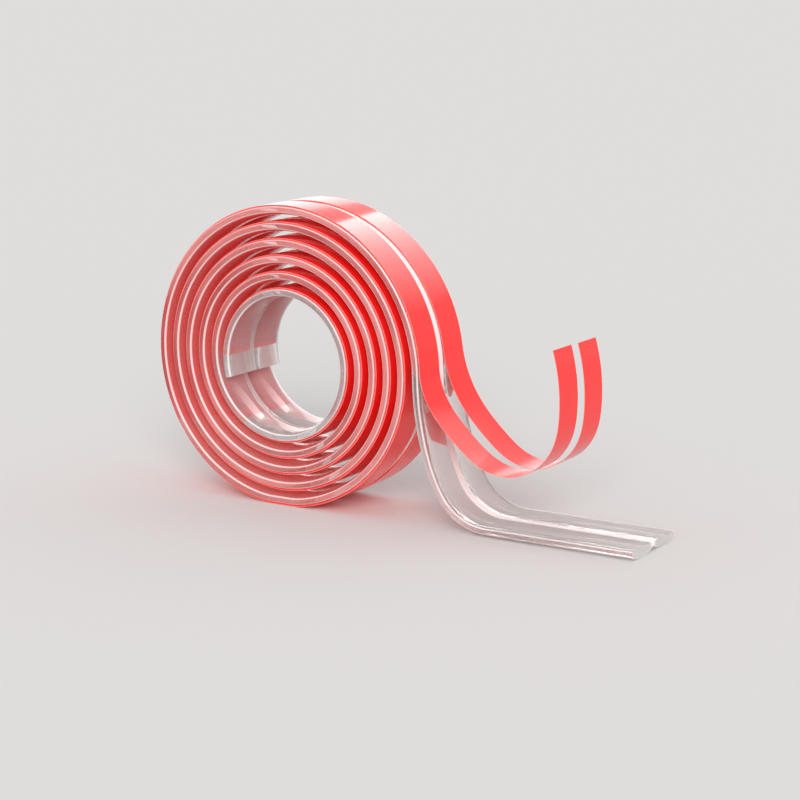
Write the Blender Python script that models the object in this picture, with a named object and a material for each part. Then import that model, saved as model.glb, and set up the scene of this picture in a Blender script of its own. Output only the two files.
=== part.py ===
import math

import bmesh
import bpy

# Clear soft PVC edge and corner guard, a strip of about one metre wound up as an open roll.
# The roll stands on a table with its axis along Y. The strip's outer end leaves the roll
# on the +X side, bends and lies flat along +X. All sizes are in metres.

# Guard strip section
STRIP_WIDTH = 0.022
WING_CROWN = 0.0023
WING_EDGE = 0.0015
EDGE_ROUNDING = 0.00035
HINGE_NOTCH_WIDTH = 0.0022
HINGE_NOTCH_DEPTH = 0.00075
HINGE_GROOVE_WIDTH = 0.0014
HINGE_GROOVE_DEPTH = 0.0002
CROWN_FLAT = 0.0033

# Double-sided tape and its release liner, one band on each wing
TAPE_THICKNESS = 0.00018
LINER_THICKNESS = 0.00012
EDGE_MARGIN = 0.0007
HINGE_MARGIN = 0.00015
BOND_LINE = 0.00005

# Roll
CORE_RADIUS = 0.01687
WHOLE_TURNS = 5
TURN_GAP = 0.00134
INNER_END_DROP = 18.7
INNER_END_SPRING = 0.0010
INNER_END_SPRING_SWEEP = 72.0
FACETS_PER_TURN = 30

# Tail, as bends of the adhesive face from straight down to level.
# The first and longest bend takes up whatever height the other two leave.
TAIL_FIRST_BEND = 16.3
TAIL_SECOND_BEND = 12.8
TAIL_SECOND_RADIUS = 0.0394
TAIL_FOOT_RADIUS = 0.0136
TAIL_FOOT_STEPS = 9
TAIL_FLAT = 0.0382

# Liners: start after the strip's inner end, lift off the tape before the tail, then hang free
LINER_SETBACK = 0.0055
FRONT_LIFT_OFF = 2.0
REAR_LIFT_OFF = 7.0
FRONT_LINER_BENDS = ((38.0, 0.0174), (12.0, 0.0645), (119.0, 0.0144), (25.0, 0.0437))
REAR_LINER_BENDS = ((35.0, 0.0293), (8.0, 0.0786), (121.0, 0.0139), (25.0, 0.0458))

LAYERS = BOND_LINE + TAPE_THICKNESS + BOND_LINE + LINER_THICKNESS
TURN_PITCH = WING_CROWN + LAYERS + TURN_GAP
LAST_TURN = WHOLE_TURNS + 0.5
BOTTOM_TURN = WHOLE_TURNS - 0.25
HALF_FACET = math.pi / FACETS_PER_TURN


def roll_radius(turn):
    """Radius of the adhesive face, counted in turns from the level point on the roll's -X side."""
    radius = CORE_RADIUS + TURN_PITCH * turn
    into_spring = 1 - (turn * 360 + INNER_END_DROP) / INNER_END_SPRING_SWEEP
    return radius + INNER_END_SPRING * max(into_spring, 0) ** 2


FLAT_SPOT_HEIGHT = LAYERS
AXIS_HEIGHT = FLAT_SPOT_HEIGHT + roll_radius(BOTTOM_TURN) * math.cos(HALF_FACET)


def roll_point(turn):
    """Point of the adhesive face. The lowest facet is pressed flat on the table."""
    angle = math.pi - 2 * math.pi * turn
    x = roll_radius(turn) * math.cos(angle)
    z = AXIS_HEIGHT + roll_radius(turn) * math.sin(angle)
    if abs(turn - BOTTOM_TURN) < 0.6 / FACETS_PER_TURN:
        z = FLAT_SPOT_HEIGHT
    return x, z


def roll_path(first_turn, last_turn):
    """Facet corners between two places on the spiral, both ends included."""
    first = math.floor(first_turn * FACETS_PER_TURN + 0.3) + 1
    last = math.ceil(last_turn * FACETS_PER_TURN - 0.3) - 1
    turns = [first_turn]
    turns += [step / FACETS_PER_TURN for step in range(first, last + 1)]
    turns.append(last_turn)
    return [roll_point(turn) for turn in turns]


def bend(path, lean, turn, radius, steps):
    """Carry a path on round an arc. Lean is in degrees outward from straight down."""
    step_angle = math.radians(turn) / steps
    chord = 2 * radius * math.sin(step_angle / 2)
    x, z = path[-1]
    for step in range(steps):
        heading = math.radians(lean) + step_angle * (step + 0.5)
        x += chord * math.sin(heading)
        z -= chord * math.cos(heading)
        path.append((x, z))
    return lean + turn


def roll_lean(turn):
    """Heading of the spiral near its +X side, in degrees outward from straight down."""
    radius = roll_radius(turn)
    rise = math.degrees(math.atan(TURN_PITCH / (2 * math.pi * radius)))
    return (LAST_TURN - turn) * 360 + rise


def strip_path():
    """Adhesive face of the strip, from its inner end to the cut end of the tail."""
    path = roll_path(-INNER_END_DROP / 360, LAST_TURN)
    lean = roll_lean(LAST_TURN)
    second_lean = lean + TAIL_FIRST_BEND
    foot_lean = second_lean + TAIL_SECOND_BEND
    second_reach = math.sin(math.radians(second_lean))
    foot_reach = math.sin(math.radians(foot_lean))
    height = path[-1][1] - WING_CROWN
    height -= TAIL_FOOT_RADIUS * (1 - foot_reach)
    height -= TAIL_SECOND_RADIUS * (foot_reach - second_reach)
    first_radius = height / (second_reach - math.sin(math.radians(lean)))
    bend(path, lean, TAIL_FIRST_BEND, first_radius, 3)
    bend(path, second_lean, TAIL_SECOND_BEND, TAIL_SECOND_RADIUS, 2)
    bend(path, foot_lean, 90 - foot_lean, TAIL_FOOT_RADIUS, TAIL_FOOT_STEPS)
    x = path[-1][0]
    path[-1] = (x, WING_CROWN)
    path.append((x + TAIL_FLAT, WING_CROWN))
    return path


def liner_path(lift_off, bends):
    """Tape side of a liner: round the roll on its tape, then free, hanging over the tail."""
    setback = LINER_SETBACK / (2 * math.pi * CORE_RADIUS)
    lift_turn = LAST_TURN - lift_off / 360
    path = roll_path(setback - INNER_END_DROP / 360, lift_turn)
    lean = roll_lean(lift_turn)
    for turn, radius in bends:
        lean = bend(path, lean, turn, radius, max(2, round(turn / 10)))
    return path


def outward_offsets(path):
    """Mitred unit offsets to the adhesive side of a path, one for each of its points."""
    normals = []
    for (x0, z0), (x1, z1) in zip(path, path[1:]):
        length = math.hypot(x1 - x0, z1 - z0)
        normals.append((-(z1 - z0) / length, (x1 - x0) / length))
    offsets = [normals[0]]
    for (ax, az), (bx, bz) in zip(normals, normals[1:]):
        share = 1 + ax * bx + az * bz
        offsets.append(((ax + bx) / share, (az + bz) / share))
    offsets.append(normals[-1])
    return offsets


def wing_section():
    """Closed outline of the strip across its width: (across, in from the adhesive face)."""
    half = STRIP_WIDTH / 2
    inner = HINGE_GROOVE_WIDTH / 2
    outer = half - EDGE_ROUNDING
    half_side = [
        (HINGE_NOTCH_WIDTH / 2, 0),
        (outer, 0),
        (half, EDGE_ROUNDING),
        (half, WING_EDGE - EDGE_ROUNDING),
    ]
    middle = (inner + outer) / 2
    half_side += [
        (outer, WING_EDGE),
        (middle + CROWN_FLAT / 2, WING_CROWN),
        (middle - CROWN_FLAT / 2, WING_CROWN),
        (inner, WING_EDGE),
    ]
    section = [(0, HINGE_NOTCH_DEPTH)]
    section += half_side
    section.append((0, WING_EDGE - HINGE_GROOVE_DEPTH))
    section += [(-across, depth) for across, depth in reversed(half_side)]
    return section


def band_section(side, height, thickness):
    """Closed outline of a tape or liner band on one wing, raised off the adhesive face."""
    near = side * (HINGE_NOTCH_WIDTH / 2 + HINGE_MARGIN)
    far = side * (STRIP_WIDTH / 2 - EDGE_MARGIN)
    low, high = sorted((near, far))
    return [(low, -height - thickness), (high, -height - thickness), (high, -height), (low, -height)]


def sweep(name, section, path, material):
    """One closed solid: the section carried along the path, with a flat face at each end."""
    mesh = bmesh.new()
    rings = []
    for (x, z), (out_x, out_z) in zip(path, outward_offsets(path)):
        ring = []
        for across, depth in section:
            ring.append(mesh.verts.new((x - out_x * depth, across, z - out_z * depth)))
        rings.append(ring)
    for ring, next_ring in zip(rings, rings[1:]):
        for index, corner in enumerate(ring):
            before = index - 1
            mesh.faces.new((ring[before], next_ring[before], next_ring[index], corner))
    mesh.faces.new(rings[0])
    mesh.faces.new(reversed(rings[-1]))
    bmesh.ops.recalc_face_normals(mesh, faces=mesh.faces)
    data = bpy.data.meshes.new(name)
    mesh.to_mesh(data)
    mesh.free()
    data.materials.append(material)
    data.shade_smooth()
    data.set_sharp_from_angle(angle=math.radians(30))
    piece = bpy.data.objects.new(name, data)
    bpy.context.scene.collection.objects.link(piece)
    return piece


def plastic(name, colour, roughness, transmission=0.0):
    material = bpy.data.materials.new(name)
    material.use_nodes = True
    shader = material.node_tree.nodes["Principled BSDF"]
    shader.inputs["Base Color"].default_value = (*colour, 1)
    shader.inputs["Metallic"].default_value = 0
    shader.inputs["Roughness"].default_value = roughness
    shader.inputs["Transmission Weight"].default_value = transmission
    return material


for leftover in list(bpy.data.objects):
    bpy.data.objects.remove(leftover)

clear_pvc = plastic("clear_pvc", (0.92, 0.90, 0.90), 0.08, 0.9)
clear_adhesive = plastic("clear_adhesive", (0.90, 0.86, 0.84), 0.35, 0.8)
red_film = plastic("red_film", (0.95, 0.07, 0.06), 0.22)

# Guard strip, one extrusion: two crowned wings joined by a thin hinge, notched on the adhesive side
strip_face = strip_path()
guard_strip = sweep("guard_strip", wing_section(), strip_face, clear_pvc)

# Tapes, bonded to both wings over the strip's whole length
front_band = band_section(-1, BOND_LINE, TAPE_THICKNESS)
rear_band = band_section(1, BOND_LINE, TAPE_THICKNESS)
front_tape = sweep("front_tape", front_band, strip_face, clear_adhesive)
rear_tape = sweep("rear_tape", rear_band, strip_face, clear_adhesive)

# Red release liners, still on the tape round the roll and peeled from the tail
liner_height = BOND_LINE + TAPE_THICKNESS + BOND_LINE
front_film = band_section(-1, liner_height, LINER_THICKNESS)
rear_film = band_section(1, liner_height, LINER_THICKNESS)
front_route = liner_path(FRONT_LIFT_OFF, FRONT_LINER_BENDS)
rear_route = liner_path(REAR_LIFT_OFF, REAR_LINER_BENDS)
front_liner = sweep("front_liner", front_film, front_route, red_film)
rear_liner = sweep("rear_liner", rear_film, rear_route, red_film)

# Everything hangs from one empty, which brings the middle of the footprint to the origin
pieces = [guard_strip, front_tape, rear_tape, front_liner, rear_liner]
reach = [corner.co.x for piece in pieces for corner in piece.data.vertices]
footprint = bpy.data.objects.new("footprint_centre", None)
bpy.context.scene.collection.objects.link(footprint)
footprint.location.x = -(min(reach) + max(reach)) / 2
for piece in pieces:
    piece.parent = footprint
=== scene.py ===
import math

import bmesh
import bpy
from mathutils import Matrix, Quaternion, Vector


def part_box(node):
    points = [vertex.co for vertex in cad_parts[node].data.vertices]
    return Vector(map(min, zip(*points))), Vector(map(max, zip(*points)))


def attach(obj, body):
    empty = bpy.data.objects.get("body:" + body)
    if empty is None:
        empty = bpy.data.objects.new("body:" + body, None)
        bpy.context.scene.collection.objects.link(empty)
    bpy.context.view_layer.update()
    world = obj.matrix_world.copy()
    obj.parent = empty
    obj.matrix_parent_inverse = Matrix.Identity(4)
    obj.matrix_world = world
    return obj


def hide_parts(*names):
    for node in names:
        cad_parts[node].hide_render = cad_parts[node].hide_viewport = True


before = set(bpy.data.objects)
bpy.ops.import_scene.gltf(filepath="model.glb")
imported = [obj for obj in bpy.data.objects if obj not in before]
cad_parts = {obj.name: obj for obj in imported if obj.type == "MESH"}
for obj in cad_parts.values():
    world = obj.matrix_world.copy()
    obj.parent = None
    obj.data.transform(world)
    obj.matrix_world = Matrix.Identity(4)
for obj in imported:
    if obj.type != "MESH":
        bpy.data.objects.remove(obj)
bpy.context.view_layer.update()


# Guard strip: one extrusion of clear soft PVC, two crowned wings joined by a thin hinge.
# It is wound adhesive side out into an open roll, and its outer end leaves the roll at the
# +X side, bends at the foot and lies flat with the adhesive side up.
strip_width = 0.022
wing_crown = 0.0023
wing_edge = 0.0015
corner_radius = 0.0004
notch_width = 0.0022
notch_depth = 0.00075
groove_width = 0.0014
groove_depth = 0.0002

layers = 0.0004
turn_gap = 0.00134
turn_pitch = wing_crown + layers + turn_gap
core_radius = 0.01687
last_turn = 5.5
leftmost_turn = last_turn - 0.5
lowest_turn = last_turn - 0.75
inner_end_drop = 18.7
inner_end_spring = 0.0010
spring_sweep = 72.0
steps_per_turn = 108

tail_upper_bend = 16.3
tail_lower_bend = 12.8
tail_lower_radius = 0.0394
tail_foot_radius = 0.0136
tail_easing = 0.002
tail_landing = 0.02
tail_flat_steps = 24
bend_step = 0.0004
cut_frosting = 0.00012

cut_end_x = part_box("guard_strip")[1].x
roll_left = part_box("rear_liner")[0].x


def roll_radius(turn):
    """Radius of the adhesive face, in turns from the level point on the -X side."""
    into_spring = 1 - (turn * 360 + inner_end_drop) / spring_sweep
    return core_radius + turn_pitch * turn + inner_end_spring * max(into_spring, 0) ** 2


# The axis stands where the CAD model's lowest facet, one of thirty to a turn, puts it.
facets_per_turn = 30
flat_height = layers
axis_height = flat_height + roll_radius(lowest_turn) * math.cos(math.pi / facets_per_turn)
axis_x = roll_left + roll_radius(leftmost_turn) + layers


def roll_point(turn):
    """Point of the adhesive face. The lowest stretch is pressed flat on the floor."""
    angle = math.pi - 2 * math.pi * turn
    x = axis_x + roll_radius(turn) * math.cos(angle)
    z = axis_height + roll_radius(turn) * math.sin(angle)
    return x, max(z, flat_height)


def roll_path(first_turn, end_turn):
    """Even stations round the spiral, the same ones on every layer, and both ends. No station
    stands nearer to an end than the least share of a step."""
    least = 0.4
    first = math.floor(first_turn * steps_per_turn + least) + 1
    last = math.ceil(end_turn * steps_per_turn - least) - 1
    turns = [first_turn] + [i / steps_per_turn for i in range(first, last + 1)] + [end_turn]
    return [roll_point(turn) for turn in turns]


def roll_lean(turn):
    """Heading near the +X side, in degrees outward from straight down."""
    rise = math.degrees(math.atan(turn_pitch / (2 * math.pi * roll_radius(turn))))
    return (last_turn - turn) * 360 + rise


def carry_on(path, lean, bends, easing):
    """Carry a path on round bends of (degrees, radius), easing each one into the next."""
    headings = []
    for turn, radius in bends:
        count = max(1, round(math.radians(abs(turn)) * radius / bend_step))
        headings += [lean + turn * (i + 0.5) / count for i in range(count)]
        lean += turn
    reach = max(1, round(easing / bend_step))
    x, z = path[-1]
    for i in range(len(headings)):
        span = min(reach, i, len(headings) - 1 - i)
        near = headings[i - span:i + span + 1]
        heading = math.radians(sum(near) / len(near))
        x += bend_step * math.sin(heading)
        z -= bend_step * math.cos(heading)
        path.append((x, z))


def beside(end, inner):
    """Station just in from a cut end, where the frosting of the cut face stops."""
    share = cut_frosting / math.dist(end, inner)
    return tuple(a + (b - a) * share for a, b in zip(end, inner))


def strip_path():
    """Adhesive face of the strip, from its inner end to the cut end of the tail. The tail's
    upper bend takes up the height that its lower bend and its foot leave, and what the
    easing adds to that height is taken out over the landing."""
    path = roll_path(-inner_end_drop / 360, last_turn)
    leaving = roll_lean(last_turn)
    lower = leaving + tail_upper_bend
    foot = lower + tail_lower_bend
    reach = [math.sin(math.radians(lean)) for lean in (leaving, lower, foot)]
    height = path[-1][1] - wing_crown
    height -= tail_foot_radius * (1 - reach[2]) + tail_lower_radius * (reach[2] - reach[1])
    upper_radius = height / (reach[1] - reach[0])
    bends = [(tail_upper_bend, upper_radius), (tail_lower_bend, tail_lower_radius)]
    bends.append((90 - foot, tail_foot_radius))
    carry_on(path, leaving, bends, tail_easing)
    sunk = path[-1][1] - wing_crown
    top = path[-1][1] + tail_landing
    path = [(x, z - sunk * max(0.0, min(1.0, (top - z) / tail_landing))) for x, z in path[:-1]]
    foot_x = path[-1][0]
    for i in range(1, tail_flat_steps + 1):
        path.append((foot_x + (cut_end_x - foot_x) * i / tail_flat_steps, wing_crown))
    start, end = path[0], path[-1]
    return [start, beside(start, path[1])] + path[1:-1] + [beside(end, path[-2]), end]


def outward_offsets(path):
    """Mitred unit offsets to the adhesive side of a path, one for each station."""
    normals = []
    for (x0, z0), (x1, z1) in zip(path, path[1:]):
        length = math.hypot(x1 - x0, z1 - z0)
        normals.append((-(z1 - z0) / length, (x1 - x0) / length))
    offsets = [normals[0]]
    for (ax, az), (bx, bz) in zip(normals, normals[1:]):
        share = 1 + ax * bx + az * bz
        offsets.append(((ax + bx) / share, (az + bz) / share))
    offsets.append(normals[-1])
    return offsets


def rounded_corner(across, depth, start, turn):
    """Points round a corner of the strip, about a centre set in from both faces."""
    points = []
    count = 4
    for i in range(count + 1):
        angle = math.radians(start + turn * i / count)
        outward = corner_radius * math.cos(angle)
        deeper = corner_radius * math.sin(angle)
        points.append((across + outward, depth + deeper))
    return points


def wing_section():
    """Outline across the strip: (across, in from the adhesive face). One side runs from the
    notch's rounded flank over the flat face, the edge and the crown to the groove."""
    half = strip_width / 2
    lip = notch_width / 2
    inner = groove_width / 2
    outer = half - corner_radius
    side = [(lip * 0.12, notch_depth * 0.93), (lip * 0.86, notch_depth * 0.13)]
    side += [(lip, notch_depth * 0.02), (lip * 1.2, 0.0), (half * 0.35, 0.0), (half * 0.7, 0.0)]
    side += rounded_corner(outer, corner_radius, -90, 90)
    side += rounded_corner(outer, wing_edge - corner_radius, 0, 72)
    middle = (inner + outer) / 2
    reach = (outer - inner) / 2
    crown_steps = 16
    crown_fullness = 2.5
    for i in range(1, crown_steps):
        away = 1 - 2 * i / crown_steps
        rise = (wing_crown - wing_edge) * (1 - abs(away) ** crown_fullness)
        side.append((middle + reach * away, wing_edge + rise))
    side += [(inner, wing_edge), (inner * 0.5, wing_edge - groove_depth * 0.8)]
    points = [(0.0, notch_depth)] + side + [(0.0, wing_edge - groove_depth)]
    return points + [(-across, depth) for across, depth in reversed(side)]


def side_margin(across):
    """How far inward a place is from the strip's own side edge."""
    return strip_width / 2 - abs(across)


def sweep(name, section_at, path, inward_of):
    """Closed solid along a path, with its lengths as UVs. Each corner also keeps how far inward
    from the side edges it is, how far inside from the adhesive face, and if it is a cut end's."""
    mesh = bmesh.new()
    section = section_at(0)
    round_it = [0.0]
    for (a0, d0), (a1, d1) in zip(section, section[1:] + section[:1]):
        round_it.append(round_it[-1] + math.hypot(a1 - a0, d1 - d0))
    along = [0.0]
    for (x0, z0), (x1, z1) in zip(path, path[1:]):
        along.append(along[-1] + math.hypot(x1 - x0, z1 - z0))
    uv = mesh.loops.layers.uv.new("lengths")
    inward = mesh.verts.layers.float.new("inward")
    inside = mesh.verts.layers.float.new("inside")
    cut = mesh.verts.layers.float.new("cut")
    last = len(path) - 1
    rings = []
    for i, ((x, z), (out_x, out_z)) in enumerate(zip(path, outward_offsets(path))):
        ring = []
        for across, depth in section_at(i):
            corner = mesh.verts.new((x - out_x * depth, across, z - out_z * depth))
            corner[inward] = inward_of(across)
            corner[inside] = depth
            corner[cut] = float(i in (0, last))
            ring.append(corner)
        rings.append(ring)
    for i in range(last):
        for j in range(len(section)):
            k = (j + 1) % len(section)
            face = mesh.faces.new((rings[i][j], rings[i + 1][j], rings[i + 1][k], rings[i][k]))
            corners = ((j, i), (j, i + 1), (j + 1, i + 1), (j + 1, i))
            for loop, (u, v) in zip(face.loops, corners):
                loop[uv].uv = (round_it[u], along[v])
    for ring, v in ((rings[0], 0), (rings[-1][::-1], last)):
        cap = mesh.faces.new(ring)
        for loop in cap.loops:
            loop[uv].uv = (loop.vert.co.y, along[v] + loop.vert.co.z)
    bmesh.ops.recalc_face_normals(mesh, faces=mesh.faces)
    data = bpy.data.meshes.new(name)
    mesh.to_mesh(data)
    mesh.free()
    data.shade_smooth()
    data.set_sharp_from_angle(angle=math.radians(35))
    piece = bpy.data.objects.new(name, data)
    bpy.context.scene.collection.objects.link(piece)
    return piece


class Shade:
    """One output of a material's nodes. Arithmetic on it adds Math nodes."""

    def __init__(self, socket):
        self.socket = socket
        self.tree = socket.id_data

    @staticmethod
    def node(tree, kind, settings, inputs, output=0):
        """Any node, with its settings and the values or links of its sockets."""
        made = tree.nodes.new(kind)
        for setting, value in settings.items():
            setattr(made, setting, value)
        for key, value in inputs.items():
            if isinstance(value, Shade):
                tree.links.new(value.socket, made.inputs[key])
            else:
                made.inputs[key].default_value = value
        return Shade(made.outputs[output])

    def math(self, operation, first, second):
        return Shade.node(self.tree, "ShaderNodeMath", {"operation": operation}, {0: first, 1: second})

    def __add__(self, other):
        return self.math("ADD", self, other)

    __radd__ = __add__

    def __sub__(self, other):
        return self.math("SUBTRACT", self, other)

    def __rsub__(self, other):
        return self.math("SUBTRACT", other, self)

    def __mul__(self, other):
        return self.math("MULTIPLY", self, other)

    __rmul__ = __mul__

    def most(self, other):
        """The larger of the two."""
        return self.math("MAXIMUM", self, other)

    def between(self, low, high):
        """Smooth mask from 0 at low to 1 at high."""
        inputs = {"Value": self, "From Min": low, "From Max": high}
        return Shade.node(self.tree, "ShaderNodeMapRange", {"interpolation_type": "SMOOTHSTEP"}, inputs)

    def tint(self, none, full):
        """Colour from none at 0 to full at 1, out of the Mix node's third output."""
        inputs = {"Factor": self, "A": none, "B": full}
        return Shade.node(self.tree, "ShaderNodeMix", {"data_type": "RGBA"}, inputs, 2)


def finish(name, **fixed):
    """New material: its tree and its shader, with the values that are the same all over."""
    material = bpy.data.materials.new(name)
    material.use_nodes = True
    shader = material.node_tree.nodes["Principled BSDF"]
    for socket, value in fixed.items():
        shader.inputs[socket.replace("_", " ")].default_value = value
    return material, material.node_tree, shader


def feed(shader, patterns):
    """Lead what varies over the surface into the shader's sockets."""
    for socket, pattern in patterns.items():
        pattern.tree.links.new(pattern.socket, shader.inputs[socket])


def lengths(tree, across, along):
    """UV lengths in metres, stretched to a pattern's own scale."""
    uv = Shade.node(tree, "ShaderNodeUVMap", {"uv_map": "lengths"}, {})
    scale = {0: uv, 1: (across, along, 1.0)}
    return Shade.node(tree, "ShaderNodeVectorMath", {"operation": "MULTIPLY"}, scale)


def noise(tree, across, along, detail):
    """Noise with so many features to the metre across the strip and along it."""
    inputs = {"Vector": lengths(tree, across, along), "Scale": 1.0, "Detail": detail}
    return Shade.node(tree, "ShaderNodeTexNoise", {}, inputs)


def relief(tree, height, strength, distance):
    inputs = {"Height": height, "Strength": strength, "Distance": distance}
    return Shade.node(tree, "ShaderNodeBump", {}, inputs)


def kept(tree, name):
    """What sweep kept on the corners under this name."""
    return Shade.node(tree, "ShaderNodeAttribute", {"attribute_name": name}, {}, "Fac")


def clear_pvc(first_turn, wound):
    """Clear PVC with a share of milkiness, which is larger at the corners, at the hinge and on
    the cut ends. Where the red liner covers the strip, the milkiness is painted pink and glows
    faintly red, as painted light from the liner, and on the tail's sides it is painted a little
    pink, as a painted reflection of the liner. The roll's first turn and its wound length are
    measured in metres."""
    pvc_ior = 1.53
    material, tree, shader = finish("clear_pvc", Transmission_Weight=1.0, IOR=pvc_ior)
    die_lines = noise(tree, 2600, 14, 3.0)
    waviness = noise(tree, 160, 60, 1.0)
    haze = noise(tree, 420, 90, 3.0)
    feed(shader, {
        "Base Color": haze.tint((0.993, 0.982, 0.982, 1), (1.0, 0.995, 0.995, 1)),
        "Roughness": 0.01 + 0.03 * haze,
        "Normal": relief(tree, die_lines * 0.1 + waviness, 0.2, 0.00003),
    })

    # Stretches of the strip's length, with the distance over which each one fades in.
    along = Shade.node(tree, "ShaderNodeSeparateXYZ", {}, {0: lengths(tree, 1, 1)}, "Y")
    past_core = along.between(first_turn, first_turn + 0.03)
    covered = past_core * (1 - along.between(wound - 0.004, wound))
    tail = along.between(wound + 0.005, wound + 0.03)

    # Zones of the strip's section: the notch of the hinge, and the corners and flat of each side.
    inward = kept(tree, "inward")
    inside = kept(tree, "inside")
    notch_start = (strip_width - notch_width) / 2
    hinge = inward.between(notch_start - 0.0004, notch_start) * (1 - inside.between(0.0010, 0.0012))
    face_corner = 1 - inside.between(0.00005, 0.00035)
    crown_corner = inside.between(wing_edge - 0.00035, wing_edge - 0.0001)
    corners = face_corner + crown_corner
    rims = corners * (1 - inward.between(0.00045, 0.00075))
    side_face = (1 - inward.between(0.00002, 0.0001)) * (1 - corners)
    tail_side = side_face * tail

    # Painted light: where the liner covers the strip, the milky layer is painted pink, standing in for red
    # light led through the plastic from the liner. On the tail's sides it is painted a little pink, as a
    # painted reflection of the liner.
    painted_red_light = 0.9 * covered * (1 - 0.85 * hinge.most(rims)) + 0.6 * tail_side
    white = haze.tint((1.0, 0.965, 0.96, 1), (1.0, 0.99, 0.985, 1))
    milky = Shade.node(tree, "ShaderNodeBsdfPrincipled", {}, {
        "Base Color": painted_red_light.tint(white, (1.0, 0.33, 0.31, 1)),
        "Roughness": 0.3,
        "IOR": pvc_ior,
        # Painted light: a faint red glow where the liner covers the strip.
        "Emission Color": covered.tint((0.0, 0.0, 0.0, 1), (1.0, 0.16, 0.13, 1)),
        "Emission Strength": 0.11,
    })

    # The milky share: faint all over, more on the bare core, and in drifting streaks on the
    # covered sides. The hinge, the rims and the cut ends each have a least share of their own.
    drift = noise(tree, 120, 30, 2.0).between(0.35, 0.65)
    streaks = side_face * (0.32 * drift - 0.18) + 0.24
    share = 0.07 + 0.12 * (1 - past_core) + streaks * covered + (0.10 + 0.22 * drift) * tail_side
    for least, place in ((0.85, hinge), (0.75, rims), (0.5, kept(tree, "cut"))):
        share = share.most(least * place)
    clear = Shade(shader.outputs["BSDF"])
    blend = Shade.node(tree, "ShaderNodeMixShader", {}, {0: share, 1: clear, 2: milky})
    tree.links.new(blend.socket, tree.nodes["Material Output"].inputs["Surface"])
    return material


strip_route = strip_path()
wound_route = roll_path(-inner_end_drop / 360, last_turn)
wound_length = sum(math.dist(a, b) for a, b in zip(wound_route, wound_route[1:]))
guard_strip = sweep("guard_strip_clear", lambda i: wing_section(), strip_route, side_margin)
guard_strip.data.materials.append(clear_pvc(2 * math.pi * core_radius, wound_length))
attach(guard_strip, "root")
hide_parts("guard_strip")


# Tapes: clear double-sided acrylic tape, laid down on both wings as the strip is extruded.
# They stay on the strip for its whole length, and are bare on the tail.
hinge_margin = 0.00015
edge_margin = 0.0007
band_near = notch_width / 2 + hinge_margin
band_far = strip_width / 2 - edge_margin
band_reach = (band_far - band_near) / 2
band_middle = (band_far + band_near) / 2
tape_sink = 0.00002
tape_height = 0.00026
tape_rounding = 0.00006


def band_edge(across):
    """How far inward a place is from the nearer edge of its band."""
    return band_reach - abs(abs(across) - band_middle)


def tape_section(side):
    """Outline of a tape, from just inside the strip's face to its own soft outer face."""
    low, high = sorted((side * band_near, side * band_far))
    middle = side * band_middle
    shoulder = tape_rounding - tape_height
    return [
        (low + tape_rounding, -tape_height), (middle, -tape_height), (high - tape_rounding, -tape_height),
        (high, shoulder), (high, tape_sink), (middle, tape_sink), (low, tape_sink), (low, shoulder),
    ]


def clear_tape():
    """Clear tape in optical contact with the strip, so that it hardly bends light itself."""
    material, tree, shader = finish("clear_tape", Transmission_Weight=0.95, IOR=1.03)
    specks = noise(tree, 900, 900, 4.0)
    streaks = noise(tree, 150, 25, 2.0)
    feed(shader, {
        "Base Color": streaks.tint((0.985, 0.97, 0.965, 1), (1.0, 0.99, 0.985, 1)),
        "Roughness": 0.05 + 0.12 * specks,
        "Normal": relief(tree, specks * 0.4 + streaks, 0.25, 0.00004),
    })
    return material


tape_finish = clear_tape()
for name, side in (("front_tape", -1), ("rear_tape", 1)):
    tape = sweep(name + "_clear", lambda i: tape_section(side), strip_route, band_edge)
    tape.data.materials.append(tape_finish)
    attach(tape, "root")
    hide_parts(name)


# Release liners: coral red film, one band on each tape. They are still on the tape all round
# the roll and start a little after the strip's inner end. At the tail they are peeled off,
# and hang free over it in a J with their ends standing up.
liner_setback = 0.0055
liner_easing = 0.0035
front_bends = ((38.0, 0.0174), (12.0, 0.0645), (119.0, 0.0144), (25.0, 0.0437))
rear_bends = ((35.0, 0.0293), (8.0, 0.0786), (121.0, 0.0139), (25.0, 0.0458))
film_outer = layers
film_rounding = 0.00004
root_depth = 0.00002
root_inset = 0.00012
root_fade = 6


def liner_path(lift_off, bends):
    """A liner's route, and the station from which it hangs free."""
    setback = liner_setback / (2 * math.pi * core_radius)
    lift_turn = last_turn - lift_off / 360
    path = roll_path(setback - inner_end_drop / 360, lift_turn)
    lifted = len(path)
    carry_on(path, roll_lean(lift_turn), bends, liner_easing)
    return path, lifted


def film_section(side, root):
    """Outline of a liner. Where it is stuck down, its underside runs on through the clear tape
    to the strip's own face, so that red shows through the strip as it does once tape has wetted
    out. Where it hangs free, it is bare film."""
    low, high = sorted((side * band_near, side * band_far))
    middle = side * band_middle
    edge, inset, under = film_rounding, root_inset, tape_height
    return [
        (low + edge, -film_outer), (middle, -film_outer), (high - edge, -film_outer),
        (high, edge - film_outer), (high, -under - edge), (high - edge, -under),
        (high - inset, -under), (high - inset, root), (middle, root),
        (low + inset, root), (low + inset, -under),
        (low + edge, -under), (low, -under - edge), (low, edge - film_outer),
    ]


def film_outline(side, lifted):
    """The liner's outline at each station: its root thins away where it peels off the tape,
    until it stands only a hair out of the underside."""
    hair = 0.000001
    thinned = root_depth + tape_height + hair

    def at(i):
        free = max(0.0, min(1.0, (i - lifted + root_fade) / root_fade))
        return film_section(side, root_depth - thinned * free)
    return at


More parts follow.
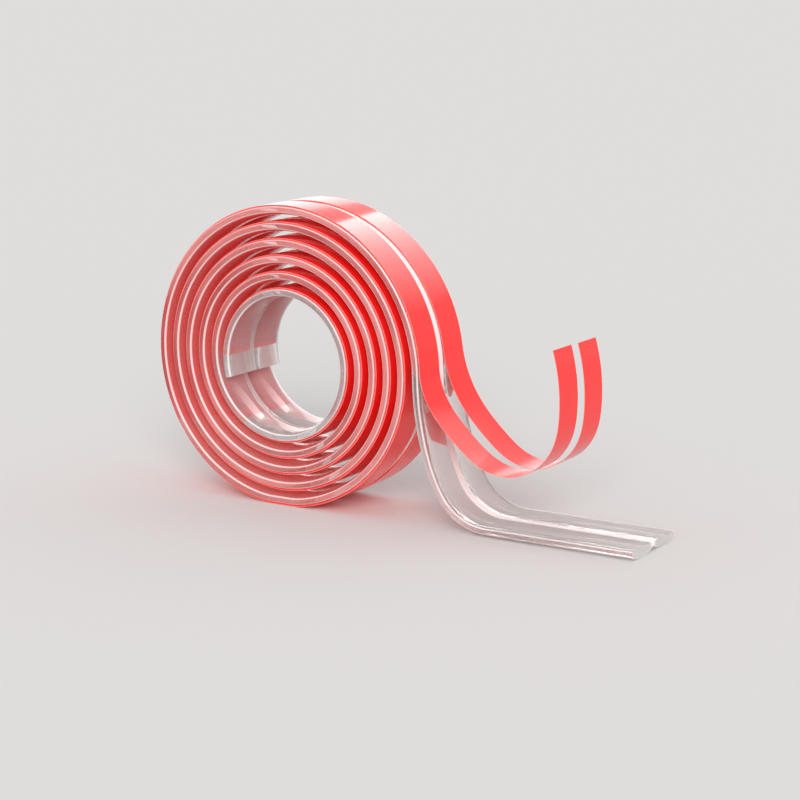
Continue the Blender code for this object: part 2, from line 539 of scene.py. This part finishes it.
def red_film():
    """Coral red film with fine creases, a painted highlight along its cut edges and a faint painted red
    glow.
    """
    # Painted light: the film glows faintly in its own red, so that it stays bright in the shaded gaps
    # between the turns.
    material, tree, shader = finish(
        "red_film", IOR=1.45, Specular_IOR_Level=0.4, Coat_Weight=0.2, Coat_Roughness=0.04,
        Emission_Strength=0.03,
    )
    grain = noise(tree, 700, 700, 3.0)
    blush = noise(tree, 90, 30, 2.0)
    creases = noise(tree, 30, 120, 2.0)
    # Painted highlight: the film is painted paler along its cut edges, where the edges catch the light.
    painted_edge_highlight = 1 - kept(tree, "inward").between(0.00003, 0.00014)
    red = blush.tint((0.96, 0.010, 0.010, 1), (0.98, 0.022, 0.019, 1))
    feed(shader, {
        "Base Color": (0.45 * painted_edge_highlight).tint(red, (1.0, 0.58, 0.50, 1)),
        "Emission Color": red,
        "Roughness": 0.14 + 0.08 * grain,
        "Normal": relief(tree, grain * 0.05 + creases, 0.3, 0.00010),
    })
    return material


film_finish = red_film()
for name, side, lift_off, bends in (
    ("front_liner", -1, 2.0, front_bends),
    ("rear_liner", 1, 7.0, rear_bends),
):
    route, lifted = liner_path(lift_off, bends)
    film = sweep(name + "_film", film_outline(side, lifted), route, band_edge)
    film.data.materials.append(film_finish)
    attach(film, "root")
    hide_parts(name)


# Studio: a pale matt floor and an even pale surround, with a soft key from the front right.
# Two softboxes light no matt surface: a graded one over the roll lays the long highlight on
# the film, and a broad one at the back brightens the clear plastic at grazing angles.
grid = bmesh.new()
bmesh.ops.create_grid(grid, x_segments=1, y_segments=1, size=12.0)
floor_mesh = bpy.data.meshes.new("floor")
grid.to_mesh(floor_mesh)
grid.free()
pale = (0.74, 0.725, 0.71, 1)
floor_mesh.materials.append(finish("pale_floor", Base_Color=pale, Roughness=0.8, Specular_IOR_Level=0.0)[0])
floor = bpy.data.objects.new("floor", floor_mesh)
bpy.context.scene.collection.objects.link(floor)


def softbox(name, place, heading, tilt, size, power, colour):
    """Rectangular light that matt surfaces don't take up, tilted in degrees about its heading."""
    data = bpy.data.lights.new(name, "AREA")
    data.shape = "RECTANGLE"
    data.size, data.size_y = size
    data.energy = power
    data.color = colour
    light = bpy.data.objects.new(name, data)
    light.location = place
    tilted = Quaternion((0, 0, 1), math.radians(tilt))
    light.rotation_euler = (Vector(heading).to_track_quat("-Z", "Y") @ tilted).to_euler()
    light.visible_camera = False
    light.visible_diffuse = False
    bpy.context.scene.collection.objects.link(light)
    return light


def grade(light, first, last):
    """Softbox that falls off across its width, as one lit from its edge does."""
    light.data.use_nodes = True
    tree = light.data.node_tree
    place = Shade.node(tree, "ShaderNodeNewGeometry", {}, {}, "Parametric")
    across = Shade.node(tree, "ShaderNodeSeparateXYZ", {}, {0: place}, "X")
    glow = Shade.node(tree, "ShaderNodeEmission", {}, {1: first + (last - first) * across})
    tree.links.new(glow.socket, tree.nodes["Light Output"].inputs["Surface"])


top_softbox = softbox(
    "top_softbox", (0.020, 0.15, 0.152), (-0.05, -0.15, -0.10), 20, (0.19, 0.06), 0.09,
    (1.0, 0.985, 0.97),
)
grade(top_softbox, 0.0, 2.0)
back_softbox = softbox(
    "back_softbox", (-0.26, 0.42, 0.13), (0.28, -0.42, -0.11), 0, (0.5, 0.22), 0.42,
    (1.0, 0.99, 0.98),
)
back_softbox.visible_transmission = False
sun = bpy.data.lights.new("soft_key", "SUN")
sun.energy = 1.7
sun.angle = math.radians(30)
key = bpy.data.objects.new("soft_key", sun)
key.rotation_euler = Vector((-0.50, 0.78, -0.48)).to_track_quat("-Z", "Y").to_euler()
bpy.context.scene.collection.objects.link(key)

world = bpy.data.worlds.new("studio")
bpy.context.scene.world = world
world.use_nodes = True
sky = world.node_tree
rays = Shade.node(sky, "ShaderNodeLightPath", {}, {}).socket.node.outputs
seen = Shade(rays["Is Camera Ray"])
for kind in ("Is Glossy Ray", "Is Transmission Ray"):
    seen = seen.most(Shade(rays[kind]))
backdrop = Shade.node(sky, "ShaderNodeBackground", {}, {"Color": (0.88, 0.87, 0.86, 1), "Strength": 1.0})
ambient = Shade.node(sky, "ShaderNodeBackground", {}, {"Color": (0.99, 0.99, 1.0, 1), "Strength": 0.76})
mixed = Shade.node(sky, "ShaderNodeMixShader", {}, {0: seen, 1: ambient, 2: backdrop})
sky.links.new(mixed.socket, sky.nodes["World Output"].inputs["Surface"])

# Clear plastic sends light back and forth inside itself many times before it comes out.
cycles = bpy.context.scene.cycles
cycles.max_bounces = 24
cycles.glossy_bounces = 16
cycles.transmission_bounces = 24
cycles.diffuse_bounces = 10


# Camera: the photograph's viewing angle, from the right of the roll's face and a little above.
# Its place, angles in degrees and focal length in pixels were solved from points on the roll's
# rims and on the tail.
turned = math.radians(31.886)
tipped = math.radians(11.897)
rolled = math.radians(-0.108)
focal_pixels = 2102.8
photo_pixels = 800
sensor_width = 36.0
ahead = Vector((
    -math.sin(turned) * math.cos(tipped),
    math.cos(turned) * math.cos(tipped),
    -math.sin(tipped),
))
level = Vector((math.cos(turned), math.sin(turned), 0.0))
plumb = level.cross(ahead)
right = level * math.cos(rolled) + plumb * math.sin(rolled)
up = plumb * math.cos(rolled) - level * math.sin(rolled)
view = bpy.data.cameras.new("view")
view.sensor_width = sensor_width
view.lens = sensor_width * focal_pixels / photo_pixels
view.clip_start = 0.01
camera = bpy.data.objects.new("view", view)
place = Matrix.Translation((0.29138 + axis_x, -0.42401, 0.13306))
camera.matrix_world = place @ Matrix((right, up, -ahead)).transposed().to_4x4()
bpy.context.scene.collection.objects.link(camera)
bpy.context.scene.camera = camera
bpy.context.scene.view_settings.view_transform = "Standard"
